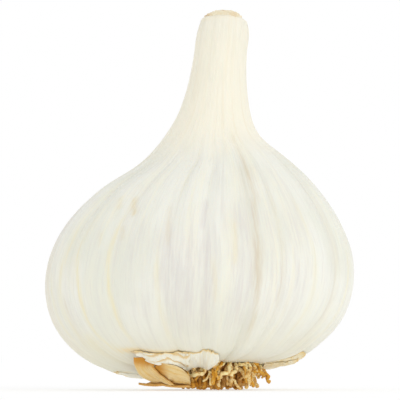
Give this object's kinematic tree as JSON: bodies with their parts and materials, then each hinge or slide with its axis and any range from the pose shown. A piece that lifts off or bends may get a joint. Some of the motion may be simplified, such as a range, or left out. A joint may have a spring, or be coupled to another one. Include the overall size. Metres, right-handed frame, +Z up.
{
  "type": "garlic bulb",
  "caption": "Whole garlic bulb in white papery skin, with a cut neck, furrows between the cloves, a tuft of cut roots and torn skin round its base.",
  "frame": {"origin": "on the surface that the bulb stands on, under the middle of the bulb", "axes": "+Z up through the neck, -Y to the pictured side"},
  "size_m": [0.0559, 0.0536, 0.0689],
  "materials": {
    "white_skin": "satin, finely veined",
    "dry_stalk": "matte",
    "tan_root": "matte",
    "tan_skin": "satin",
    "pale_skin": "satin"
  },
  "bodies": {
    "root": {"wrapped_bulb": "white_skin", "stalk_end": "dry_stalk", "root_tuft": "tan_root", "torn_skin_front": "pale_skin", "torn_skin_left": "tan_skin", "torn_skin_right": "tan_skin", "torn_skin_under": "pale_skin", "torn_skin_back": "pale_skin"}
  },
  "joints": []
}
